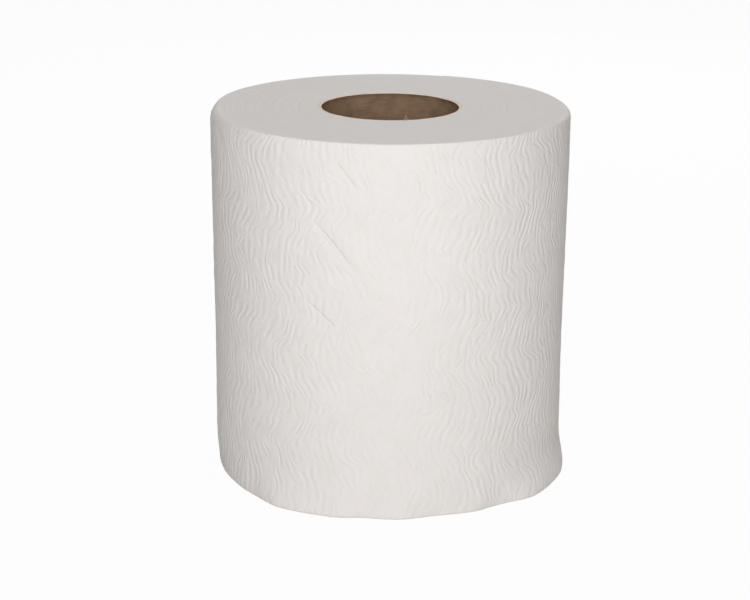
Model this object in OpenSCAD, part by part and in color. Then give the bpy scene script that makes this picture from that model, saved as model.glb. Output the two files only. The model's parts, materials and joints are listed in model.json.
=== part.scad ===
// Paper towel roll, standing on its end: one wound web of wave-embossed paper on a cardboard core.
// Millimetres, +Z up along the core, origin at the centre of the lower end. The front is towards -Y.

/* [Roll] */
// Width of the paper web, which is the height of the standing roll
web_w = 200; // [120:1:300]
// Outside diameter over the embossing, half way up
roll_d = 193; // [150:0.5:240]
// How much fuller the roll is at its head, in radius
head_swell = 0.8; // [0:0.1:3]
// How far the roll is out of round, in radius
out_of_round = 0.4; // [0:0.1:2]

/* [Core] */
// Bore of the cardboard core
core_bore_d = 76; // [30:0.5:80]
// Wall of the cardboard core
core_wall = 1; // [0.6:0.1:4]

/* [Ends] */
// Rounding of the outer turns at the head
shoulder_r = 1; // [0.5:0.1:3]
// Extra rounding where the outer turns have slumped most at the head
shoulder_slump = 4.5; // [0:0.5:7]
// Rounding of the outer turns at the foot
foot_r = 1.2; // [0.5:0.1:3]
// How far the outer turns splay out at the foot, where they do so most
foot_splay = 6; // [0:0.1:8]
// Height over which that splay dies away
splay_rise = 11; // [6:1:20]

/* [Turns] */
// Spacing of the bands of turns that show on both ends
turn_pitch = 5.2; // [4:0.2:10]
// Width of the gap between two bands at the end face
turn_gap_w = 1; // [0.4:0.1:2]
// Depth of that gap
turn_gap_h = 0.8; // [0.3:0.1:1.5]

/* [Tail] */
// Where the free end of the web lies, counted from +X round by the back
tail_angle = 72; // [20:1:160]
// How far the free end stands proud of the turn under it
tail_step = 1.1; // [0.3:0.1:3]
// Length of the sloping cut edge of the free end, along the turn
tail_edge = 0.5; // [0.3:0.1:1.5]

/* [Embossing] */
// Spacing of the embossed ridges round the roll
ridge_pitch = 6.4; // [5.6:0.2:12]
// Height of a ridge over the furrows beside it
ridge_h = 0.8; // [0.2:0.1:2]
// How far the ridges sway to each side
sway = 6; // [0:0.5:9]
// Height in which a ridge sways once to and fro
sway_run = 52; // [40:1:100]
// Height in which a ridge fades away and comes back
fade_run = 66; // [40:1:150]

/* [Hidden] */
$fn = 180;

core_r = core_bore_d / 2 + core_wall;
web_r = roll_d / 2 - ridge_h / 2;
ridges = round(PI * roll_d / ridge_pitch);
cols = 2 * ridges;
bands = 21;
shoulder_steps = 2;
rows = bands + 2 + shoulder_steps;
knee_z = foot_r + 0.4 * splay_rise;
// Where the head has slumped: direction, spread, and share of the most.
slump_sides = [[190, 42, 1], [5, 38, 0.5]];
// Share of the splay that the foot has, by direction. Below 0 it is drawn in.
foot_wave = [
    [0, 0.4], [45, 0], [150, 0], [192, -0.2], [208, -0.1], [218, 0.15], [232, 0.75], [250, 0.5],
    [264, 0.1], [276, 0.3], [286, 0], [298, 0.3], [305, 0.15], [322, 1], [343, 0.8], [360, 0.4]
];
sway_knots = 5;
knot_depth = 50;
tail_calm = 24;
least_ridge = 0.35;
golden_angle = 137.508;
end_margin = 0.9;
end_r = web_r - shoulder_r - shoulder_slump - out_of_round - tail_step / 2;
lid_sides = 24;
lid_r = end_r - end_margin;
spiral_in = core_r + turn_pitch / 2;
spiral_out = lid_r * cos(180 / lid_sides) - turn_gap_w / 2 - end_margin;
turns = floor((spiral_out - spiral_in) / turn_pitch);
cut_past = 1;

// Goes smoothly from 0 to 1 as t does.
function ease(t) = let (u = min(max(t, 0), 1)) u * u * (3 - 2 * u);

// Angle between a and b, without sign.
function apart(a, b) = abs((a - b + 900) % 360 - 180);

// 1 at the angle centre, falling smoothly to 0 at spread to each side.
function swell(a, centre, spread) = 0.5 + 0.5 * cos(180 * min(apart(a, centre) / spread, 1));

// Rounding of the head's edge at angle a.
function shoulder(a) =
    shoulder_r + shoulder_slump * max([for (s = slump_sides) s[2] * swell(a, s[0], s[1])]);

// Share of the splay that the foot has at angle a.
function splay_at(a) = lookup((a + 720) % 360, foot_wave);

// Height of row j at angle a: the floor, the foot's edge, the knee of the splay, the bands, then the
// head's rounded edge.
function row_z(j, a) =
    j == 0 ? 0 :
    j == 1 ? foot_r :
    j <= bands + 2 ? knee_z + (web_w - shoulder(a) - knee_z) * (j - 2) / bands :
    web_w - shoulder(a) * (1 - sin(90 * (j - bands - 2) / shoulder_steps));

// How far row j is drawn in by the rounding of the foot and the head.
function row_in(j, a) =
    j == 0 ? foot_r :
    j <= bands + 2 ? 0 :
    shoulder(a) * (1 - cos(90 * (j - bands - 2) / shoulder_steps));

// Plain radius of the outermost turn: it grows by the web's step from the tail once round.
function turn_r(a, z) =
    web_r
    + tail_step * ((a - tail_angle) / 360 - 0.5)
    + out_of_round * sin(2 * a + 30)
    + head_swell * ease(2.5 * z / web_w - 1.2)
    + foot_splay * splay_at(a) * exp(-pow(z / splay_rise, 2));

// Sideways sway of the ridges in degrees. The knots draw neighbours together and apart, and the
// ridges run straight beside the cut edge of the tail.
function sway_at(a, z) =
    sway * 180 / (PI * web_r)
    * sin(360 * z / sway_run + knot_depth * sin(sway_knots * a))
    * ease(apart(a, tail_angle) / tail_calm);

// Relief of column i: odd columns are ridges that fade in and out, even ones are furrows.
function relief(i, z) =
    ridge_h / 2 * (i % 2 == 0 ? -1 : 1)
    * (least_ridge + (1 - least_ridge) * (0.5 + 0.5 * sin(360 * z / fade_run + golden_angle * i)));

// Point of the skin in column i and row j.
function skin_point(i, j) =
    let (
        edge = tail_edge * 180 / (PI * web_r),
        a = tail_angle + (360 - edge) * i / cols,
        z = row_z(j, a),
        b = a + sway_at(a, z),
        r = turn_r(a, z) + relief(i, z) - row_in(j, a)
    )
    [r * cos(b), r * sin(b), z];

// Corner k of the many-sided lid inside the skin's rim, at height z.
function lid_point(k, z) =
    let (a = tail_angle + 360 * (k + 0.5) / lid_sides)
    [lid_r * cos(a), lid_r * sin(a), z];

// The wound web as one solid block, before its bore and its turns are cut. Each end is a rim of
// triangles from the skin to a lid with few sides, and the lid's own triangles.
module wound_skin() {
    around = cols + 1;
    top = rows * around;
    foot_lid = (rows + 1) * around;
    head_lid = foot_lid + lid_sides;
    foot_mid = head_lid + lid_sides;
    head_mid = foot_mid + 1;
    points = concat(
        [for (j = [0:rows], i = [0:cols]) skin_point(i, j)],
        [for (z = [0, web_w], k = [0:lid_sides - 1]) lid_point(k, z)],
        [[0, 0, 0], [0, 0, web_w]]
    );
    sides = [
        for (j = [0:rows - 1], i = [0:cols])
            let (
                k = j * around + i,
                next = j * around + (i + 1) % around
            )
            each [[k, k + around, next + around], [k, next + around, next]]
    ];
    rims = [
        for (i = [0:cols])
            let (
                next = (i + 1) % around,
                k = floor(i * lid_sides / around)
            )
            each [[foot_lid + k, i, next], [head_lid + k, top + next, top + i]]
    ];
    lids = [
        for (k = [0:lid_sides - 1])
            let (
                next = (k + 1) % lid_sides,
                i = ceil((k + 1) * around / lid_sides) % around
            )
            each [
                [foot_lid + k, i, foot_lid + next],
                [head_lid + next, top + i, head_lid + k],
                [foot_mid, foot_lid + k, foot_lid + next],
                [head_mid, head_lid + next, head_lid + k]
            ]
    ];
    polyhedron(points, concat(sides, rims, lids), convexity = 4);
}

// Section of the gaps between the bands of turns, as a comb of V-shaped teeth that hang from a bar
// clear above the end face. The first tooth is at radius first.
module gap_comb(first) {
    root = cut_past / 2;
    polygon([
        [first - turn_gap_w / 2, cut_past],
        for (k = [0:turns - 1])
            let (r = first + k * turn_pitch)
            each [
                [r - turn_gap_w / 2, root],
                [r - turn_gap_w / 2, 0],
                [r, -turn_gap_h],
                [r + turn_gap_w / 2, 0],
                [r + turn_gap_w / 2, root]
            ],
        [first + (turns - 1) * turn_pitch + turn_gap_w / 2, cut_past]
    ]);
}

// The half of the spiral of gaps that lies towards the back.
module back_gaps() {
    rotate_extrude(angle = 180)
        gap_comb(spiral_in);
}

// The half towards the front. Its centre and its radius are half a pitch further out, so each gap
// runs on from one band to the next.
module front_gaps() {
    translate([turn_pitch / 2, 0, 0])
        rotate([0, 0, 180])
            rotate_extrude(angle = 180)
                gap_comb(spiral_in + turn_pitch / 2);
}

// The web of embossed paper, wound tight: all its turns are one solid.
module paper_roll() {
    color("whitesmoke")
        difference() {
            wound_skin();
            translate([0, 0, -cut_past])
                cylinder(r = core_r, h = web_w + 2 * cut_past);
            translate([0, 0, web_w])
                back_gaps();
            translate([0, 0, web_w])
                front_gaps();
            mirror([0, 0, 1])
                back_gaps();
            mirror([0, 0, 1])
                front_gaps();
        }
}

// The tube of brown board that the web is wound on, as long as the web is wide.
module cardboard_core() {
    color("peru")
        difference() {
            cylinder(r = core_r, h = web_w);
            translate([0, 0, -cut_past])
                cylinder(d = core_bore_d, h = web_w + 2 * cut_past);
        }
}

paper_roll();
cardboard_core();
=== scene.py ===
"""Paper towel roll: the visual model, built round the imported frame.

A web of wave-embossed tissue, wound on a tube of brown board, stands on its end on a pale floor.
Metres, +Z up along the core, -Y towards the camera.
"""

import json
import logging
import math
from dataclasses import dataclass, field
from enum import Enum

import bmesh
import bpy
from mathutils import Matrix, Vector, noise


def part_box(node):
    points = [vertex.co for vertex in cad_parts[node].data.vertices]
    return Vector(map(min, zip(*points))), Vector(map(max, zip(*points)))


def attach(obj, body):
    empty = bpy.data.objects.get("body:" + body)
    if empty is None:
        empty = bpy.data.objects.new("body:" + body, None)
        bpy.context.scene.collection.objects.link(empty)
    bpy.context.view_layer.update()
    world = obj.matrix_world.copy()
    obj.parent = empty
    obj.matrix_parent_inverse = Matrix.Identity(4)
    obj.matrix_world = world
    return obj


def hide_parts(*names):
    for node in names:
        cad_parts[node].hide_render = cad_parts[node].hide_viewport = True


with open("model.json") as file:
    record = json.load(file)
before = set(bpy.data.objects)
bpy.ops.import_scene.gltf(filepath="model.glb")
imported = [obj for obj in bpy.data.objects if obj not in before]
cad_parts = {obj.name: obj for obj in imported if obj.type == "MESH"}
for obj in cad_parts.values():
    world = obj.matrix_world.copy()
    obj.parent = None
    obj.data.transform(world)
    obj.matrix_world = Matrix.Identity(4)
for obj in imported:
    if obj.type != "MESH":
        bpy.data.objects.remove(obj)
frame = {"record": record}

LOG = logging.getLogger("paper_towel_roll")
MM = 0.001
QUARTER = math.pi / 2
# Two faces that meet at more than this stay sharp.
SHARP_ANGLE = math.radians(50)
# Where noise is read along a line or over a plane, its other coordinates stand here.
NOISE_SLICE = 0.5
WINDING_MAP = "winding"
CREASE_OFF = "crease_off"
CREASE_SHARE = "crease_share"

Colour = tuple[float, float, float, float]


def ease(t: float) -> float:
    """Goes smoothly from 0 to 1 as t does."""
    u = min(max(t, 0.0), 1.0)
    return u * u * (3 - 2 * u)


def apart(a: float, b: float) -> float:
    """Angle between two directions, in radians and without sign."""
    return abs((a - b + math.pi) % math.tau - math.pi)


def swell(angle: float, centre: float, spread: float) -> float:
    """Returns 1 at the angle centre, falling smoothly to 0 at spread to each side."""
    return 0.5 + 0.5 * math.cos(math.pi * min(apart(angle, centre) / spread, 1.0))


def linear(hex_colour: str) -> Colour:
    """Turns an sRGB colour into a linear one.

    Args:
        hex_colour: Colour such as "#E9E6E2".

    Returns:
        Linear red, green, blue and alpha.
    """
    shares = (int(hex_colour[i : i + 2], 16) / 255 for i in (1, 3, 5))
    red, green, blue = (c / 12.92 if c <= 0.04045 else ((c + 0.055) / 1.055) ** 2.4 for c in shares)
    return (red, green, blue, 1.0)


def add_node(
    tree: bpy.types.NodeTree, kind: str, links: dict[str | int, object] | None = None, **settings: object
) -> bpy.types.Node:
    """Adds a shader node with its settings, socket values and links.

    Args:
        tree: Node tree that gets the node.
        kind: Name of the node type after "ShaderNode", such as "Bump".
        links: Input socket, by name or place, to a value or to the output socket that feeds it.
        settings: Properties of the node itself.

    Returns:
        The new node.
    """
    node = tree.nodes.new("ShaderNode" + kind)
    for name, value in settings.items():
        setattr(node, name, value)
    for socket, value in (links or {}).items():
        if isinstance(value, bpy.types.NodeSocket):
            tree.links.new(value, node.inputs[socket])
        else:
            node.inputs[socket].default_value = value
    return node


def new_material(name: str) -> tuple[bpy.types.Material, bpy.types.NodeTree, bpy.types.NodeSocket]:
    """Makes an empty node material.

    Args:
        name: Name of the real material.

    Returns:
        The material, its node tree, and the socket that holds the object coordinates.
    """
    material = bpy.data.materials.new(name)
    material.use_nodes = True
    tree = material.node_tree
    tree.nodes.clear()
    coordinates = add_node(tree, "TexCoord")
    return material, tree, coordinates.outputs["Object"]


def close_material(tree: bpy.types.NodeTree, surface: bpy.types.Node) -> None:
    """Links a surface shader to a new output node."""
    add_node(tree, "OutputMaterial", {"Surface": surface.outputs[0]})


@dataclass(frozen=True)
class TissuePaper:
    """Two-ply bleached tissue, creped and embossed: matt, a little warm, soft fibres all over.

    Cellulose has an IOR of 1.53, but the loose fibres scatter nearly all light, so there is no gloss.
    """

    pale: str = "#EFEBE9"
    deep: str = "#E8E4E1"
    roughness: float = 0.95
    ior: float = 1.53
    specular: float = 0.12
    cloud_size: float = 14 * MM
    # Real creping stands at about 0.4 mm, too fine for the render, so it is drawn at 0.9 mm.
    crepe_width: float = 0.9 * MM
    crepe_length: float = 5 * MM
    crepe_height: float = 0.05 * MM
    fibre_size: float = 0.7 * MM
    fibre_height: float = 0.03 * MM
    # The embossing roller's crisp lines. The winding map counts them along U, and their pitch along V.
    line_width: float = 0.46
    line_height: float = 0.19 * MM
    stray: float = 0.6
    stray_run: float = 2.4
    cross_stray: float = 2.1
    cross_run: float = 3.6
    # One noise changes over between the two families of lines, and another one breaks the lines.
    patch_run: float = 3.2
    patch_from: float = 0.43
    patch_to: float = 0.6
    break_run: float = 1.5
    break_from: float = 0.36
    break_to: float = 0.56
    break_least: float = 0.12
    # Width in millimetres, as the mesh keeps the distance from a crease.
    crease_width: float = 0.85
    crease_height: float = 0.3 * MM

    def lines(
        self, tree: bpy.types.NodeTree, winding: bpy.types.NodeSocket, stray: float, run: float
    ) -> bpy.types.NodeSocket:
        """Draws one family of lines, which a noise makes stray sideways.

        Args:
            tree: Node tree of the material.
            winding: Socket with the winding map.
            stray: How far the lines stray, in pitches.
            run: Size of the noise, in pitches.

        Returns:
            Socket that is 1 in a line and 0 between two.
        """
        parts = add_node(tree, "SeparateXYZ", {0: winding})
        stir = add_node(tree, "TexNoise", {"Vector": winding, "Scale": 1 / run, "Detail": 1.0})
        centred = add_node(tree, "Math", {0: stir.outputs[0], 1: 0.5}, operation="SUBTRACT")
        astray = add_node(
            tree,
            "Math",
            {0: centred.outputs[0], 1: 2 * stray, 2: parts.outputs[0]},
            operation="MULTIPLY_ADD",
        )
        off_line = add_node(tree, "Math", {0: astray.outputs[0], 1: 0.5}, operation="PINGPONG")
        line = add_node(
            tree,
            "MapRange",
            {"Value": off_line.outputs[0], "From Max": self.line_width, "To Min": 1.0, "To Max": 0.0},
            interpolation_type="SMOOTHSTEP",
        )
        return line.outputs[0]

    def emboss(self, tree: bpy.types.NodeTree) -> bpy.types.Node:
        """Bump of the roller's lines: one family follows the mesh's furrows, the other strays across.

        Args:
            tree: Node tree of the material.

        Returns:
            The bump node.
        """
        winding = add_node(tree, "UVMap", uv_map=WINDING_MAP).outputs[0]
        along = self.lines(tree, winding, self.stray, self.stray_run)
        across = self.lines(tree, winding, self.cross_stray, self.cross_run)
        patches = add_node(tree, "TexNoise", {"Vector": winding, "Scale": 1 / self.patch_run, "Detail": 2.0})
        share = add_node(
            tree,
            "MapRange",
            {"Value": patches.outputs[0], "From Min": self.patch_from, "From Max": self.patch_to},
            interpolation_type="SMOOTHSTEP",
        )
        either = add_node(tree, "Mix", {0: share.outputs[0], 2: across, 3: along})
        breaks = add_node(tree, "TexNoise", {"Vector": winding, "Scale": 1 / self.break_run, "Detail": 0.0})
        kept = add_node(
            tree,
            "MapRange",
            {
                "Value": breaks.outputs[0],
                "From Min": self.break_from,
                "From Max": self.break_to,
                "To Min": self.break_least,
            },
            interpolation_type="SMOOTHSTEP",
        )
        depth = add_node(tree, "Math", {0: either.outputs[0], 1: kept.outputs[0]}, operation="MULTIPLY")
        return add_node(
            tree, "Bump", {"Height": depth.outputs[0], "Distance": self.line_height}, invert=True
        )

    def fold(self, tree: bpy.types.NodeTree, normal: bpy.types.NodeSocket) -> bpy.types.Node:
        """Bump of the sharp bottoms of the long creases, which the mesh only carries as soft dips.

        Args:
            tree: Node tree of the material.
            normal: Normal that the bump adds to.

        Returns:
            The bump node.
        """
        off = add_node(tree, "Attribute", attribute_name=CREASE_OFF).outputs["Fac"]
        share = add_node(tree, "Attribute", attribute_name=CREASE_SHARE).outputs["Fac"]
        away = add_node(tree, "Math", {0: off}, operation="ABSOLUTE")
        groove = add_node(
            tree,
            "MapRange",
            {"Value": away.outputs[0], "From Max": self.crease_width, "To Min": 1.0, "To Max": 0.0},
            interpolation_type="SMOOTHSTEP",
        )
        depth = add_node(tree, "Math", {0: groove.outputs[0], 1: share}, operation="MULTIPLY")
        return add_node(
            tree,
            "Bump",
            {"Height": depth.outputs[0], "Distance": self.crease_height, "Normal": normal},
            invert=True,
        )

    def make(self) -> bpy.types.Material:
        """Builds the material.

        Returns:
            The node material.
        """
        material, tree, place = new_material("creped_tissue_paper")
        embossed = self.fold(tree, self.emboss(tree).outputs[0])
        clouds = add_node(tree, "TexNoise", {"Vector": place, "Scale": 1 / self.cloud_size, "Detail": 3.0})
        colour = add_node(
            tree, "Mix", {0: clouds.outputs[0], 6: linear(self.pale), 7: linear(self.deep)}, data_type="RGBA"
        )
        stretched = add_node(
            tree,
            "Mapping",
            {"Vector": place, "Scale": (1 / self.crepe_width, 1 / self.crepe_width, 1 / self.crepe_length)},
        )
        crepe = add_node(tree, "TexNoise", {"Vector": stretched.outputs[0], "Scale": 1.0, "Detail": 2.0})
        fibres = add_node(tree, "TexNoise", {"Vector": place, "Scale": 1 / self.fibre_size, "Detail": 4.0})
        creped = add_node(
            tree,
            "Bump",
            {"Height": crepe.outputs[0], "Distance": self.crepe_height, "Normal": embossed.outputs[0]},
        )
        fuzzy = add_node(
            tree,
            "Bump",
            {"Height": fibres.outputs[0], "Distance": self.fibre_height, "Normal": creped.outputs[0]},
        )
        surface = add_node(
            tree,
            "BsdfPrincipled",
            {
                "Base Color": colour.outputs[2],
                "Roughness": self.roughness,
                "IOR": self.ior,
                "Specular IOR Level": self.specular,
                "Normal": fuzzy.outputs[0],
            },
        )
        close_material(tree, surface)
        return material


@dataclass(frozen=True)
class CutTurns:
    """The saw-cut ends of the wound web: edges of the turns packed side by side, matt and a bit greyer.

    A turn is 0.26 mm, too fine for the render, so the rings are drawn at about 0.9 mm.
    """

    pale: str = "#EAE6E3"
    deep: str = "#E4E0DC"
    roughness: float = 0.97
    ior: float = 1.53
    specular: float = 0.1
    ring_width: float = 0.9 * MM
    ring_height: float = 0.03 * MM
    shade_from: float = 0.3
    shade_to: float = 0.7
    cloud_size: float = 16 * MM
    saw_size: float = 0.8 * MM
    saw_height: float = 0.05 * MM

    def make(self) -> bpy.types.Material:
        """Builds the material.

        Returns:
            The node material.
        """
        material, tree, place = new_material("cut_tissue_turns")
        flat = add_node(tree, "VectorMath", {0: place, 1: (1.0, 1.0, 0.0)}, operation="MULTIPLY")
        radius = add_node(tree, "VectorMath", {0: flat.outputs[0]}, operation="LENGTH")
        wander = add_node(tree, "TexNoise", {"Vector": place, "Scale": 1 / self.cloud_size, "Detail": 2.0})
        wandered = add_node(
            tree,
            "Math",
            {0: wander.outputs[0], 1: self.ring_width, 2: radius.outputs["Value"]},
            operation="MULTIPLY_ADD",
        )
        rings = add_node(
            tree,
            "TexNoise",
            {"W": wandered.outputs[0], "Scale": 1 / self.ring_width, "Detail": 2.0},
            noise_dimensions="1D",
        )
        shade = add_node(
            tree,
            "MapRange",
            {"Value": rings.outputs[0], "From Min": self.shade_from, "From Max": self.shade_to},
        )
        colour = add_node(
            tree, "Mix", {0: shade.outputs[0], 6: linear(self.deep), 7: linear(self.pale)}, data_type="RGBA"
        )
        saw = add_node(tree, "TexNoise", {"Vector": place, "Scale": 1 / self.saw_size, "Detail": 4.0})
        ringed = add_node(tree, "Bump", {"Height": rings.outputs[0], "Distance": self.ring_height})
        sawn = add_node(
            tree,
            "Bump",
            {"Height": saw.outputs[0], "Distance": self.saw_height, "Normal": ringed.outputs[0]},
        )
        surface = add_node(
            tree,
            "BsdfPrincipled",
            {
                "Base Color": colour.outputs[2],
                "Roughness": self.roughness,
                "IOR": self.ior,
                "Specular IOR Level": self.specular,
                "Normal": sawn.outputs[0],
            },
        )
        close_material(tree, surface)
        return material


@dataclass(frozen=True)
class BrownBoard:
    """Unbleached spiral-wound board: brown, matt, with long fibres along the plies."""

    name: str
    pale: str
    deep: str
    roughness: float = 0.85
    ior: float = 1.5
    specular: float = 0.25
    fibre_width: float = 0.8 * MM
    fibre_length: float = 9 * MM
    fibre_height: float = 0.05 * MM
    cloud_size: float = 9 * MM
    fibre_share: float = 0.5
    shade_from: float = 0.5
    shade_to: float = 1.0

    def make(self) -> bpy.types.Material:
        """Builds the material.

        Returns:
            The node material.
        """
        material, tree, place = new_material(self.name)
        clouds = add_node(tree, "TexNoise", {"Vector": place, "Scale": 1 / self.cloud_size, "Detail": 5.0})
        stretched = add_node(
            tree,
            "Mapping",
            {"Vector": place, "Scale": (1 / self.fibre_length, 1 / self.fibre_length, 1 / self.fibre_width)},
        )
        fibres = add_node(tree, "TexNoise", {"Vector": stretched.outputs[0], "Scale": 1.0, "Detail": 4.0})
        mixed = add_node(
            tree,
            "Math",
            {0: fibres.outputs[0], 1: self.fibre_share, 2: clouds.outputs[0]},
            operation="MULTIPLY_ADD",
        )
        shade = add_node(
            tree,
            "MapRange",
            {"Value": mixed.outputs[0], "From Min": self.shade_from, "From Max": self.shade_to},
        )
        colour = add_node(
            tree, "Mix", {0: shade.outputs[0], 6: linear(self.deep), 7: linear(self.pale)}, data_type="RGBA"
        )
        raised = add_node(tree, "Bump", {"Height": fibres.outputs[0], "Distance": self.fibre_height})
        surface = add_node(
            tree,
            "BsdfPrincipled",
            {
                "Base Color": colour.outputs[2],
                "Roughness": self.roughness,
                "IOR": self.ior,
                "Specular IOR Level": self.specular,
                "Normal": raised.outputs[0],
            },
        )
        close_material(tree, surface)
        return material


class Zone(Enum):
    """The stretches of the web's half section, from the bore's foot round to the bore's head."""

    FOOT_END = "foot_end"
    FOOT_EDGE = "foot_edge"
    SIDE = "side"
    HEAD_EDGE = "head_edge"
    HEAD_END = "head_end"


class TailPart(Enum):
    """What a mesh line is at the free end. The value counts its steps past the last turn."""

    ROLL = 0
    LOWER_CORNER = 1
    GAP_ROOT = 2


@dataclass(frozen=True)
class SectionPoint:
    """One point of the web's half section: its zone, and how far along the zone it lies, from 0 to 1.

    On the two ends the share runs out from the bore, and gap says how deep in a gap the point lies.
    """

    zone: Zone
    share: float
    gap: float = 0.0


@dataclass(frozen=True)
class Column:
    """One upright line of the skin's mesh.

    Args:
        angle: Direction from the axis along the side, where the tail hangs free.
        end_angle: Direction from the axis on the two ends, where the tail lies against the roll.
        turned: How far round the last turn it lies, from 0 at the tail's root to 1 at its edge.
        line: Number of the embossed line that it lies on or just past.
        across: How far it lies towards the next line, from 0 to 1.
        part: What it is at the free end.
        shoulder: Rounding of the head's edge.
        splay: How far the foot is pushed out.
    """

    angle: float
    end_angle: float
    turned: float
    line: int
    across: float
    part: TailPart
    shoulder: float
    splay: float


@dataclass(frozen=True)
class Crease:
    """A long soft fold in the outer turn, from one (angle in degrees, height) to another.

    Args:
        start: Its upper end.
        end: Its lower end.
        bow: How far it bows out from the straight line between its ends.
        depth: Its depth half way along.
        half_width: Distance from its line at which most of the depth is gone.
        fade: Share of its length over which it fades in at each end.
    """

    start: tuple[float, float]
    end: tuple[float, float]
    bow: float
    depth: float
    half_width: float = 1.3 * MM
    fade: float = 0.25


@dataclass(frozen=True)
class WaveEmbossing:
    """Lines pressed into the web. They sway to and fro up the roll, bundle, part, fade and break."""

    pitch: float = 4.1 * MM
    depth: float = 0.16 * MM
    # Sway to each side, and the height of one to and fro. The knots draw neighbours together.
    sway: float = 4.2 * MM
    sway_run: float = 52 * MM
    knots: int = 5
    knot_depth: float = math.radians(50)
    # Finer wandering, by a noise of this size along the turn and up the roll.
    wander: float = 2.8 * MM
    wander_size: float = 14 * MM
    wander_rise: float = 8.5 * MM
    # A line's strength comes and goes up the roll, and from line to line.
    break_run: float = 10 * MM
    break_spread: float = 2.3
    mean_strength: float = 0.6
    strength_swing: float = 1.3
    # Share of the depth on each mesh line from the middle of one embossed line to the next.
    furrow: tuple[float, ...] = (1.0, 0.35, 0.0, 0.35)

    def lines(self, around: float) -> int:
        """Number of lines on a skin that measures around, all the way round."""
        return round(around / self.pitch)

    def sideways(self, angle: float, height: float, radius: float) -> float:
        """Works out how far the lines are pushed sideways at a place.

        Args:
            angle: Direction of the place.
            height: Height of the place.
            radius: Radius of the skin.

        Returns:
            Distance along the turn.
        """
        slow = math.sin(math.tau * height / self.sway_run + self.knot_depth * math.sin(self.knots * angle))
        reach = radius / self.wander_size
        spot = Vector((reach * math.cos(angle), reach * math.sin(angle), height / self.wander_rise))
        return self.sway * slow + self.wander * noise.noise(spot)

    def strength(self, line: int, height: float) -> float:
        """Share of its full depth that a line has at that height."""
        spot = Vector((line / self.break_spread, height / self.break_run, NOISE_SLICE))
        return ease(self.mean_strength + self.strength_swing * noise.noise(spot))

    def dip(self, column: Column, height: float) -> float:
        """Works out how far the skin is pressed in at a place.

        Args:
            column: Mesh line of the place.
            height: Height of the place.

        Returns:
            Depth below the plain skin.
        """
        share = self.furrow[round(column.across * len(self.furrow)) % len(self.furrow)]
        if not share:
            return 0.0
        line = column.line if column.across < 0.5 else column.line + 1
        return self.depth * share * self.strength(line, height)


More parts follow.
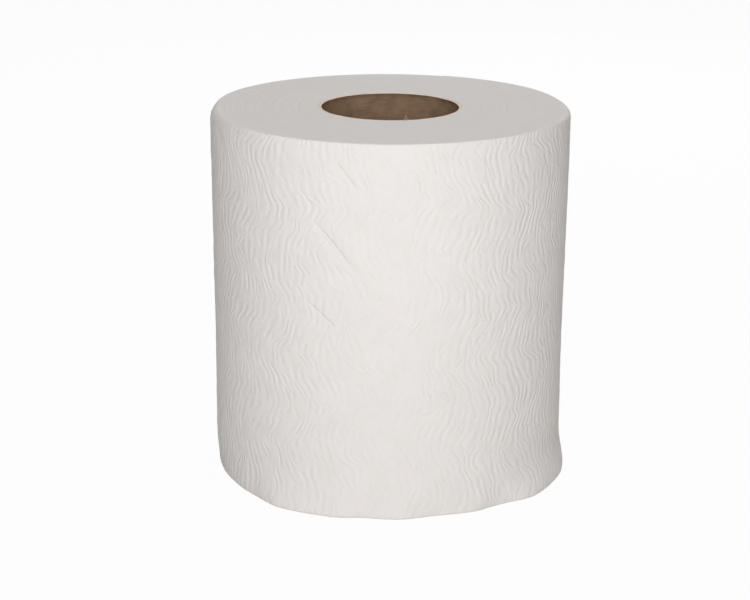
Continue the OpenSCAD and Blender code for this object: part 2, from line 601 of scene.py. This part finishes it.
@dataclass
class WoundWeb:
    """The wound web as one closed mesh: skin, free end, both cut ends and bore."""

    height: float
    bore_r: float
    outer_d: float = 193 * MM
    skin_depth: float = 0.4 * MM
    # The head is fuller than the middle. The swell begins at one share of the height and runs over another.
    head_swell: float = 0.8 * MM
    swell_from: float = 0.48
    swell_run: float = 0.4
    out_of_round: float = 0.4 * MM
    oval_turn: float = math.radians(30)
    shoulder_r: float = 0.8 * MM
    # Slumps of the head's outer turns: direction and spread in degrees, then the extra rounding.
    slumps: tuple[tuple[float, float, float], ...] = ((190, 40, 5.0 * MM), (5, 38, 2.6 * MM))
    foot_r: float = 1.2 * MM
    splay_rise: float = 11 * MM
    # How far the foot's outer turns are pushed out: direction in degrees, then millimetres.
    foot_wave: tuple[tuple[float, float], ...] = (
        (0, 2.4), (45, 0.0), (150, 0.0), (192, -1.2), (208, -0.6), (218, 0.9), (232, 4.5), (250, 3.1),
        (264, 0.4), (276, 2.0), (286, 0.0), (298, 1.8), (305, 0.9), (322, 6.1), (343, 4.8), (360, 2.4),
    )
    # The tail: where its edge lies, how proud it stands, how far the gap runs in under it, how thick
    # it is, how far its edge lifts, over what angle beside it the lines come to rest, and how far
    # and how often its cut is ragged.
    tail_angle: float = math.radians(72)
    tail_step: float = 1.1 * MM
    tail_under: float = 6 * MM
    tail_sheet: float = 0.4 * MM
    tail_lift: float = 1.6 * MM
    tail_calm: float = math.radians(13)
    tail_ragged: float = 0.45 * MM
    tail_tooth: float = 2.6 * MM
    # The lift begins at a share of the last turn, and swings about its mean share up the roll.
    lift_from: float = 0.97
    lift_mean: float = 0.6
    lift_swing: float = 0.4
    lift_run: float = 21 * MM
    # The gap's root lies at a share of its way in, and leaves a little room over the turn below.
    root_share: float = 0.97
    root_room: float = 0.05 * MM
    # The tail comes free of the two ends over this height. On them the last turn takes a share of
    # the circle, and the tail's two lower corners follow it by a step each.
    free_rise: float = 6 * MM
    shut_share: float = 0.994
    shut_step: float = 0.002
    turn_pitch: float = 5.2 * MM
    turns: int = 10
    gap_width: float = 0.6 * MM
    gap_depth: float = 0.06 * MM
    # Shares of a turn over which the gaps fade, at which they end and over which the spiral closes.
    gap_fade: float = 0.04
    gap_last: float = 0.9
    close_share: float = 0.06
    # Shares of the way from bore to rim: the last mesh rows, and the calm stretches at each side.
    rim_rows: tuple[float, ...] = (0.93, 0.985)
    bore_share: float = 0.06
    rim_share: float = 0.1
    dent: float = 0.35 * MM
    dent_size: float = 45 * MM
    pucker: float = 0.16 * MM
    pucker_size: float = 6 * MM
    pucker_seed: tuple[int, int, int] = (7, 3, 5)
    band: float = 0.07 * MM
    band_height: float = 5 * MM
    side_rows: int = 84
    edge_rows: int = 5
    embossing: WaveEmbossing = field(default_factory=WaveEmbossing)
    creases: tuple[Crease, ...] = (
        Crease((253.7, 0.1904), (261.0, 0.1747), 0.5 * MM, 0.4 * MM),
        Crease((245.3, 0.1606), (260.2, 0.1324), 1.5 * MM, 0.6 * MM),
        Crease((243.6, 0.1172), (254.2, 0.1027), 0.5 * MM, 0.25 * MM),
    )
    # How much nearer a crease counts at its full depth, and how many millimetres from it the mesh
    # keeps the distance, and fades its share.
    crease_pull: float = 8 * MM
    crease_reach: float = 6.0
    crease_fade: float = 2.0

    @property
    def mean_r(self) -> float:
        """Radius of the outermost turn, half way round and half way up."""
        return self.outer_d / 2 - self.skin_depth

    def shoulder(self, angle: float) -> float:
        """Works out the rounding of the head's edge, with the strongest slump there.

        Args:
            angle: Direction from the axis.

        Returns:
            Radius of the rounding.
        """
        extra = [
            size * swell(angle, math.radians(side), math.radians(spread))
            for side, spread, size in self.slumps
        ]
        return self.shoulder_r + max(extra)

    def splay(self, angle: float) -> float:
        """Works out how far the foot is pushed out.

        Args:
            angle: Direction from the axis.

        Returns:
            Distance outwards, below 0 where it is drawn in.
        """
        turn = math.degrees(angle) % 360
        for (low, before), (high, after) in zip(self.foot_wave, self.foot_wave[1:]):
            if turn <= high:
                return (before + (after - before) * ease((turn - low) / (high - low))) * MM
        return 0.0

    def turn_r(self, column: Column, height: float) -> float:
        """Works out the radius of the outermost turn before it is embossed.

        Args:
            column: Mesh line of the place.
            height: Height of the place.

        Returns:
            Radius of the plain skin.
        """
        return (
            self.mean_r
            + self.tail_step * (column.turned - 0.5)
            + self.out_of_round * math.sin(2 * column.angle + self.oval_turn)
            + self.head_swell * ease((height / self.height - self.swell_from) / self.swell_run)
            + column.splay * math.exp(-((height / self.splay_rise) ** 2))
        )

    def section(self) -> list[SectionPoint]:
        """Lists the half section, from the bore's foot out, up the side and in to the bore's head.

        Returns:
            Its points in order.
        """
        length = self.mean_r - self.bore_r
        end = [SectionPoint(Zone.FOOT_END, 0.0)]
        for k in range(self.turns):
            middle = (k + 0.5) * self.turn_pitch
            for offset, gap in ((-0.5, 0.0), (0.0, 1.0), (0.5, 0.0)):
                end.append(SectionPoint(Zone.FOOT_END, (middle + offset * self.gap_width) / length, gap))
        end += [SectionPoint(Zone.FOOT_END, share) for share in self.rim_rows]
        steps = self.edge_rows
        side = [SectionPoint(Zone.FOOT_EDGE, k / steps) for k in range(steps)]
        side += [SectionPoint(Zone.SIDE, k / self.side_rows) for k in range(self.side_rows)]
        side += [SectionPoint(Zone.HEAD_EDGE, k / steps) for k in range(steps + 1)]
        head = [SectionPoint(Zone.HEAD_END, p.share, p.gap) for p in reversed(end)]
        return end + side + head

    def column(self, angle: float, turned: float, step: int, part: TailPart = TailPart.ROLL) -> Column:
        """Makes one upright mesh line.

        Args:
            angle: Direction from the axis.
            turned: How far round the last turn it lies.
            step: Its number, counted from the tail's root.
            part: What it is at the free end.

        Returns:
            The mesh line, with the edge's rounding and the foot's splay at its place.
        """
        per_line = len(self.embossing.furrow)
        return Column(
            angle=angle,
            end_angle=self.tail_angle + math.tau * (self.shut_share * turned + self.shut_step * part.value),
            turned=turned,
            line=step // per_line,
            across=step % per_line / per_line,
            part=part,
            shoulder=self.shoulder(angle),
            splay=self.splay(angle),
        )

    def columns(self) -> list[Column]:
        """Lists the upright mesh lines, from the root of the tail once round to its edge and under it.

        Returns:
            The mesh lines in order.
        """
        count = self.embossing.lines(math.pi * self.outer_d) * len(self.embossing.furrow)
        root = self.tail_under / self.mean_r
        start = self.tail_angle - root
        made = [self.column(start + (math.tau + root) * i / count, i / count, i) for i in range(count + 1)]
        edge = made[-1].angle
        corner = self.column(edge, 1.0, count, TailPart.LOWER_CORNER)
        inmost = self.column(edge - root * self.root_share, 1.0, count, TailPart.GAP_ROOT)
        return made + [corner, inmost]

    def crease_at(self, angle: float, height: float) -> tuple[Crease, float, float]:
        """Finds the nearest crease.

        Args:
            angle: Direction of the place.
            height: Height of the place.

        Returns:
            The crease, the place's distance from its line with a sign, and its share of depth there.
        """
        best = None
        for crease in self.creases:
            run = math.radians(crease.end[0] - crease.start[0]) * self.mean_r
            rise = crease.end[1] - crease.start[1]
            length = math.hypot(run, rise)
            x = (angle - math.radians(crease.start[0])) * self.mean_r
            y = height - crease.start[1]
            along = (x * run + y * rise) / length**2
            off = (y * run - x * rise) / length - crease.bow * math.sin(math.pi * min(max(along, 0.0), 1.0))
            share = ease(along / crease.fade) * ease((1 - along) / crease.fade)
            pull = self.crease_pull
            if best is None or abs(off) - pull * share < abs(best[1]) - pull * best[2]:
                best = (crease, off, share)
        return best

    def crease_dip(self, angle: float, height: float) -> float:
        """How far the creases press the skin in at a place."""
        crease, off, share = self.crease_at(angle, height)
        return crease.depth * share * math.exp(-((off / crease.half_width) ** 2)) if share else 0.0

    def unevenness(self, angle: float, height: float) -> float:
        """Adds up the soft dents of the outer turns, the bands and the fine puckers of the sheet.

        Args:
            angle: Direction of the place.
            height: Height of the place.

        Returns:
            Distance outwards.
        """
        spot = Vector((self.mean_r * math.cos(angle), self.mean_r * math.sin(angle), height))
        broad = noise.noise(spot / self.dent_size)
        fine = noise.noise(spot / self.pucker_size + Vector(self.pucker_seed))
        flat = Vector((spot.x / self.dent_size, spot.y / self.dent_size, height / self.band_height))
        return self.dent * broad + self.pucker * fine + self.band * noise.noise(flat)

    def side_point(self, column: Column, point: SectionPoint) -> Vector:
        """Places a mesh point on the skin or on one of its rounded edges.

        Args:
            column: Mesh line of the point.
            point: Point of the half section.

        Returns:
            The point's place.
        """
        turn = point.share * QUARTER
        if point.zone is Zone.FOOT_EDGE:
            z = self.foot_r * (1 - math.cos(turn))
            inset = self.foot_r * (1 - math.sin(turn))
        elif point.zone is Zone.SIDE:
            z = self.foot_r + (self.height - column.shoulder - self.foot_r) * point.share
            inset = 0.0
        else:
            z = self.height - column.shoulder * (1 - math.sin(turn))
            inset = column.shoulder * (1 - math.cos(turn))
        free = ease(min(z, self.height - z) / self.free_rise)
        angle = column.end_angle + (column.angle - column.end_angle) * free
        swing = self.lift_mean + self.lift_swing * math.sin(z / self.lift_run)
        near_edge = ease((column.turned - self.lift_from) / (1 - self.lift_from))
        lift = self.tail_lift * free * swing * near_edge
        drop = 0.0
        if column.part is TailPart.LOWER_CORNER:
            drop = self.tail_sheet * free
        if column.part is TailPart.GAP_ROOT:
            drop = (self.tail_step + lift - self.root_room) * free
        if column.turned == 1.0:
            tooth = noise.noise(Vector((z / self.tail_tooth, NOISE_SLICE, NOISE_SLICE)))
            angle += self.tail_ragged * free * tooth / self.mean_r
        calm = ease((apart(column.angle, self.tail_angle) - self.tail_under / self.mean_r) / self.tail_calm)
        shifted = angle + self.embossing.sideways(column.angle, z, self.mean_r) * calm / self.mean_r
        r = (
            self.turn_r(column, z)
            + lift
            + self.unevenness(shifted, z)
            - self.embossing.dip(column, z)
            - self.crease_dip(shifted % math.tau, z)
            - inset
            - drop
        )
        return Vector((r * math.cos(shifted), r * math.sin(shifted), z))

    def end_point(self, column: Column, point: SectionPoint, rim: Vector) -> Vector:
        """Places a mesh point on one of the cut ends, between the bore and the rim.

        Args:
            column: Mesh line of the point.
            point: Point of the half section.
            rim: Place where the skin meets this end on the same mesh line.

        Returns:
            The point's place.
        """
        inset = column.shoulder if rim.z > 0 else self.foot_r
        plain = self.turn_r(column, rim.z) - inset
        near_rim = ease((point.share - 1 + self.rim_share) / self.rim_share)
        outer_r = plain + (math.hypot(rim.x, rim.y) - plain) * near_rim
        aside = (math.atan2(rim.y, rim.x) - column.end_angle + math.pi) % math.tau - math.pi
        angle = column.end_angle + aside * near_rim
        inside = ease(point.share / self.bore_share) * ease((1 - point.share) / self.rim_share)
        back = ease((column.turned - 1 + self.close_share) / self.close_share)
        spiral = self.turn_pitch * inside * ((column.turned - 0.5) * (1 - back) - 0.5 * back)
        r = self.bore_r + (outer_r - self.bore_r) * point.share + spiral
        begun = ease(column.turned / self.gap_fade)
        ended = ease((column.turned - self.gap_last) / self.gap_fade)
        depth = point.gap * begun * (1 - ended) * self.gap_depth
        z = rim.z - depth if rim.z > 0 else depth
        return Vector((r * math.cos(angle), r * math.sin(angle), z))

    def mark_creases(self, bm: bmesh.types.BMesh) -> None:
        """Keeps for each vertex how far off the nearest crease is, in millimetres, and its share.

        Args:
            bm: The finished shape.
        """
        off_layer = bm.verts.layers.float[CREASE_OFF]
        share_layer = bm.verts.layers.float[CREASE_SHARE]
        reach = self.crease_reach
        for vert in bm.verts:
            _, off, share = self.crease_at(math.atan2(vert.co.y, vert.co.x) % math.tau, vert.co.z)
            vert[off_layer] = min(max(off / MM, -reach), reach)
            vert[share_layer] = share * ease((reach - abs(vert[off_layer])) / self.crease_fade)

    def map_winding(
        self, bm: bmesh.types.BMesh, grid: dict[bmesh.types.BMVert, tuple[int, int]], columns: list[Column]
    ) -> None:
        """Lays a UV map over the web: U counts the embossed lines, V the height in pitches of a line.

        Args:
            bm: The finished shape.
            grid: Column and row of each vertex.
            columns: The upright mesh lines.
        """
        layer = bm.loops.layers.uv.new(WINDING_MAP)
        lined = [column.line + column.across for column in columns]
        half_way = len(columns) / len(self.embossing.furrow) / 2
        for face in bm.faces:
            around = max(lined[grid[v][0]] for v in face.verts)
            for loop in face.loops:
                u = lined[grid[loop.vert][0]]
                seam = around - u > half_way
                loop[layer].uv = (around if seam else u, loop.vert.co.z / self.embossing.pitch)

    def build(self, skin: bpy.types.Material, ends: bpy.types.Material) -> bpy.types.Object:
        """Spins the half section into a ring and moves its points into the shape of the wound web.

        Args:
            skin: Material of the embossed outside.
            ends: Material of the cut ends and the bore.

        Returns:
            The finished object.
        """
        section, columns = self.section(), self.columns()
        bm = bmesh.new()
        for name in (CREASE_OFF, CREASE_SHARE):
            bm.verts.layers.float.new(name)
        row_of = bm.verts.layers.int.new("row")
        # The ring is only a closed grid at first. Its points move into place below.
        spots = [(self.mean_r, k * MM) for k in range(len(section))]
        spin_section(bm, spots, range(len(section)), row_of, len(columns))
        grid = {}
        for vert in bm.verts:
            around = math.atan2(vert.co.y, vert.co.x) / math.tau * len(columns)
            grid[vert] = (round(around) % len(columns), vert[row_of])
        foot_rim = next(k for k, p in enumerate(section) if p.zone is Zone.FOOT_EDGE)
        head_rim = max(k for k, p in enumerate(section) if p.zone is Zone.HEAD_EDGE)
        feet = [self.side_point(column, section[foot_rim]) for column in columns]
        heads = [self.side_point(column, section[head_rim]) for column in columns]
        for vert, (i, k) in grid.items():
            point = section[k]
            if point.zone is Zone.FOOT_END:
                vert.co = self.end_point(columns[i], point, feet[i])
            elif point.zone is Zone.HEAD_END:
                vert.co = self.end_point(columns[i], point, heads[i])
            else:
                vert.co = self.side_point(columns[i], point)
        self.map_winding(bm, grid, columns)
        self.mark_creases(bm)
        for face in bm.faces:
            face.smooth = True
            rows = [grid[v][1] for v in face.verts]
            face.material_index = 0 if min(rows) >= foot_rim and max(rows) <= head_rim else 1
        bmesh.ops.recalc_face_normals(bm, faces=bm.faces)
        return finished(bm, "wound_web", [skin, ends])


@dataclass
class BoardTube:
    """The spiral-wound tube of brown board, with the seam of its inner ply."""

    height: float
    inner_r: float
    outer_r: float
    seam_lead: float = 110 * MM
    seam_head_angle: float = math.radians(283)
    seam_depth: float = 0.3 * MM
    seam_width: float = 0.5 * MM
    # The ply's lip stands up a little beside the seam.
    lip_height: float = 0.12 * MM
    lip_width: float = 1 * MM
    lip_off: float = 1.5 * MM
    # The head's rim isn't quite level: its waves are read from noise and lie below the web's end.
    rim_round: float = 0.2 * MM
    rim_wave: float = 0.12 * MM
    rim_waves: float = 3.0
    rim_drop: float = 0.6
    # What lies this close under the head belongs to its rim, and what rises higher is the flake.
    rim_zone: float = 0.5 * MM
    # A thin flake of the inner ply that stands up at the seam.
    flake_height: float = 2.8 * MM
    flake_width: float = 0.35 * MM
    # How much the mesh is drawn together at the seam, and how far from it.
    pinch: float = 0.7
    pinch_width: float = 4 * MM
    # The saw's burr: how far the cut edges lean into the bore, and the height in which that dies away.
    burr: float = 0.9 * MM
    burr_rise: float = 0.7 * MM
    # Depth of the extra mesh row that carries the burr.
    burr_row: float = 0.8 * MM
    columns: int = 180
    rows: int = 60

    def build(self, wall: bpy.types.Material, rim: bpy.types.Material) -> bpy.types.Object:
        """Spins the wall's section and twists it, so that the seam runs along one line of the mesh.

        Args:
            wall: Material of the inner and outer faces.
            rim: Material of the cut rims.

        Returns:
            The finished object.
        """
        bm = bmesh.new()
        on_rim = bm.verts.layers.int.new("rim")
        middle, soft = (self.inner_r + self.outer_r) / 2, self.rim_round
        climb = [soft + (self.height - 2 * soft) * k / self.rows for k in range(self.rows + 1)]
        climb.insert(-1, self.height - self.burr_row)
        climb.insert(1, self.burr_row)
        inner = [(self.inner_r, z) for z in climb]
        outer = [(self.outer_r, z) for z in reversed(climb)]
        cut = [self.inner_r + soft, middle, self.outer_r - soft]
        head = [(r, self.height) for r in cut]
        foot = [(r, 0.0) for r in reversed(cut)]
        marks = [0] * len(inner) + [1] * len(head) + [0] * len(outer) + [1] * len(foot)
        spin_section(bm, inner + head + outer + foot, marks, on_rim, self.columns)
        for vert in bm.verts:
            r, z = math.hypot(vert.co.x, vert.co.y), vert.co.z
            inside = r < middle - soft / 2
            lean = self.burr * math.exp(-((min(z, self.height - z) / self.burr_rise) ** 2))
            r -= lean * (self.outer_r - r) / (self.outer_r - self.inner_r)
            around = math.atan2(vert.co.y, vert.co.x)
            around *= 1 - self.pinch * math.exp(-((around * self.inner_r / self.pinch_width) ** 2))
            along = around * self.inner_r
            if inside:
                r += self.seam_depth * math.exp(-((along / self.seam_width) ** 2))
                r -= self.lip_height * math.exp(-(((along - self.lip_off) / self.lip_width) ** 2))
            angle = self.seam_head_angle + around + math.tau * (z - self.height) / self.seam_lead
            if z > self.height - self.rim_zone:
                spot = Vector((math.cos(angle), math.sin(angle), 0)) * self.rim_waves
                z += self.rim_wave * (noise.noise(spot) - self.rim_drop)
                z += self.flake_height * math.exp(-((along / self.flake_width) ** 2)) * inside
            vert.co = (r * math.cos(angle), r * math.sin(angle), z)
        for face in bm.faces:
            face.smooth = True
            flake = any(v.co.z > self.height + self.rim_zone for v in face.verts)
            face.material_index = int(any(v[on_rim] for v in face.verts) and not flake)
        bmesh.ops.recalc_face_normals(bm, faces=bm.faces)
        return finished(bm, "board_tube", [wall, rim])


def spin_section(
    bm: bmesh.types.BMesh,
    spots: list[tuple[float, float]],
    marks: list[int] | range,
    layer: bmesh.types.BMLayerItem,
    steps: int,
) -> None:
    """Draws a closed half section and spins it once round into a closed ring.

    Args:
        bm: Mesh that gets the ring.
        spots: Radius and height of each point of the section.
        marks: Number that each point keeps in the layer.
        layer: Layer for the numbers.
        steps: Number of steps of the spin.
    """
    profile = []
    for (r, z), mark in zip(spots, marks):
        vert = bm.verts.new((r, 0.0, z))
        vert[layer] = mark
        profile.append(vert)
    edges = [bm.edges.new((a, b)) for a, b in zip(profile, profile[1:] + profile[:1])]
    bmesh.ops.spin(
        bm,
        geom=profile + edges,
        cent=(0, 0, 0),
        axis=(0, 0, 1),
        dvec=(0, 0, 0),
        angle=math.tau,
        steps=steps,
        use_merge=True,
        use_duplicate=False,
    )


def finished(bm: bmesh.types.BMesh, name: str, materials: list[bpy.types.Material]) -> bpy.types.Object:
    """Turns a bmesh into an object at the origin, sharp only where its faces turn hard.

    Args:
        bm: The finished mesh data, which is freed.
        name: Name of the piece.
        materials: Materials in the order of the faces' numbers.

    Returns:
        The object, linked into the scene.
    """
    mesh = bpy.data.meshes.new(name)
    bm.to_mesh(mesh)
    bm.free()
    for material in materials:
        mesh.materials.append(material)
    mesh.set_sharp_from_angle(angle=SHARP_ANGLE)
    piece = bpy.data.objects.new(name, mesh)
    bpy.context.scene.collection.objects.link(piece)
    return piece


@dataclass(frozen=True)
class PhotoCamera:
    """Camera at the photograph's place. Its numbers come from a fit of the roll's whole outline."""

    distance: float = 1.0403
    height: float = 0.4071
    focal_px: float = 1954.0
    frame_px: float = 750.0
    sensor_width: float = 36.0
    clip_end: float = 50.0
    tilt: float = math.radians(16.93)
    pan: float = math.radians(-0.41)
    roll: float = math.radians(0.42)

    def build(self) -> None:
        """Makes the camera and sets it as the scene's."""
        data = bpy.data.cameras.new("photo_camera")
        data.sensor_width = self.sensor_width
        data.lens = self.focal_px / self.frame_px * self.sensor_width
        data.clip_end = self.clip_end
        camera = bpy.data.objects.new("photo_camera", data)
        ahead = Vector(
            (
                math.sin(self.pan) * math.cos(self.tilt),
                math.cos(self.pan) * math.cos(self.tilt),
                -math.sin(self.tilt),
            )
        )
        level = Vector((math.cos(self.pan), -math.sin(self.pan), 0.0))
        upright = level.cross(ahead)
        right = level * math.cos(self.roll) + upright * math.sin(self.roll)
        up = upright * math.cos(self.roll) - level * math.sin(self.roll)
        turn = Matrix((right, up, -ahead)).transposed()
        camera.matrix_world = Matrix.Translation((0.0, -self.distance, self.height)) @ turn.to_4x4()
        bpy.context.scene.collection.objects.link(camera)
        bpy.context.scene.camera = camera


@dataclass(frozen=True)
class Softbox:
    """A round soft lamp that faces a point."""

    name: str
    power: float
    size: float
    place: tuple[float, float, float]
    aim: tuple[float, float, float] = (0.0, 0.0, 0.1)

    def build(self) -> None:
        """Makes the lamp."""
        data = bpy.data.lights.new(self.name, "AREA")
        data.shape = "DISK"
        data.size = self.size
        data.energy = self.power
        lamp = bpy.data.objects.new(self.name, data)
        away = Vector(self.place) - Vector(self.aim)
        turn = away.to_track_quat("Z", "Y").to_matrix()
        lamp.matrix_world = Matrix.Translation(self.place) @ turn.to_4x4()
        bpy.context.scene.collection.objects.link(lamp)


@dataclass(frozen=True)
class Studio:
    """Pale floor, white surround, and soft light from the front, the back and above."""

    floor_side: float = 8.0
    floor_colour: str = "#E3E1DE"
    floor_white: float = 0.96
    surround_level: float = 0.25
    lamps: tuple[Softbox, ...] = (
        Softbox("front_softbox", power=12.1, size=0.7, place=(-0.01, -1.35, 0.62)),
        Softbox("back_softbox", power=6.0, size=0.3, place=(0.25, 1.33, 0.75)),
        Softbox("top_softbox", power=2.8, size=1.0, place=(0.0, 0.4, 1.35)),
    )

    def build(self) -> None:
        """Makes the floor, the world and the lamps."""
        bpy.context.scene.view_settings.view_transform = "Standard"
        self.build_floor()
        self.build_world()
        for lamp in self.lamps:
            lamp.build()

    def build_floor(self) -> None:
        """Makes the floor, which the camera sees nearly white and which keeps the roll's shadow."""
        bm = bmesh.new()
        bmesh.ops.create_grid(bm, x_segments=1, y_segments=1, size=self.floor_side / 2)
        material, tree, _ = new_material("pale_studio_floor")
        paint = add_node(tree, "BsdfDiffuse", {"Color": linear(self.floor_colour)})
        white = add_node(tree, "Emission", {"Color": (1.0, 1.0, 1.0, 1.0), "Strength": 1.0})
        seen = self.seen_directly(tree)
        share = add_node(tree, "Math", {0: seen, 1: self.floor_white}, operation="MULTIPLY")
        mixed = add_node(tree, "MixShader", {0: share.outputs[0], 1: paint.outputs[0], 2: white.outputs[0]})
        close_material(tree, mixed)
        floor = finished(bm, "floor", [material])

    def build_world(self) -> None:
        """Makes a surround that is white where it is seen and soft grey light elsewhere."""
        world = bpy.data.worlds.new("studio_surround")
        world.use_nodes = True
        tree = world.node_tree
        tree.nodes.clear()
        seen = self.seen_directly(tree)
        level = add_node(tree, "MapRange", {"Value": seen, "To Min": self.surround_level, "To Max": 1.0})
        light = add_node(tree, "Background", {"Color": (1.0, 1.0, 1.0, 1.0), "Strength": level.outputs[0]})
        add_node(tree, "OutputWorld", {"Surface": light.outputs[0]})
        bpy.context.scene.world = world

    def seen_directly(self, tree: bpy.types.NodeTree) -> bpy.types.NodeSocket:
        """Picks out the rays that show the surroundings: camera, glossy and transmission rays.

        Args:
            tree: Node tree of the floor or the world.

        Returns:
            Socket that is 1 for those rays and otherwise 0.
        """
        path = add_node(tree, "LightPath")
        pair = add_node(
            tree,
            "Math",
            {0: path.outputs["Is Camera Ray"], 1: path.outputs["Is Glossy Ray"]},
            operation="MAXIMUM",
        )
        every = add_node(
            tree, "Math", {0: pair.outputs[0], 1: path.outputs["Is Transmission Ray"]}, operation="MAXIMUM"
        )
        return every.outputs[0]


def write_size() -> None:
    """Brings the view layer up to date."""
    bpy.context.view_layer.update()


def place(piece: bpy.types.Object, node: str, slot: str) -> None:
    """Lets a piece ride on the roll's one body in place of a CAD node, and reports it.

    Args:
        piece: The finished piece.
        node: The CAD node that it stands for.
        slot: The record's material slot; not used.
    """
    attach(piece, "root")
    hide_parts(node)
    LOG.info("%s: %d faces", piece.name, len(piece.data.polygons))


def main() -> None:
    """Builds the roll and its surroundings."""
    logging.basicConfig(level=logging.INFO, format="%(message)s")
    write_size()
    core_low, core_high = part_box("cardboard_core")
    mounts = {mount["name"]: mount for mount in frame["record"]["mounts"]}
    core_outer_r = (core_high[0] - core_low[0]) / 2
    core_inner_r = mounts["core_bore"]["dims"]["r_mm"] * MM
    PhotoCamera().build()
    Studio().build()
    web = WoundWeb(height=core_high[2], bore_r=core_outer_r)
    place(web.build(TissuePaper().make(), CutTurns().make()), "paper_roll", "embossed_paper")
    tube = BoardTube(height=core_high[2], inner_r=core_inner_r, outer_r=core_outer_r)
    wall = BrownBoard("unbleached_board", "#9B7F66", "#79624D")
    rim = BrownBoard("cut_board_edge", "#F3E6D8", "#DDCAB6")
    place(tube.build(wall.make(), rim.make()), "cardboard_core", "core_board")
    write_size()


if __name__ == "__main__":
    main()
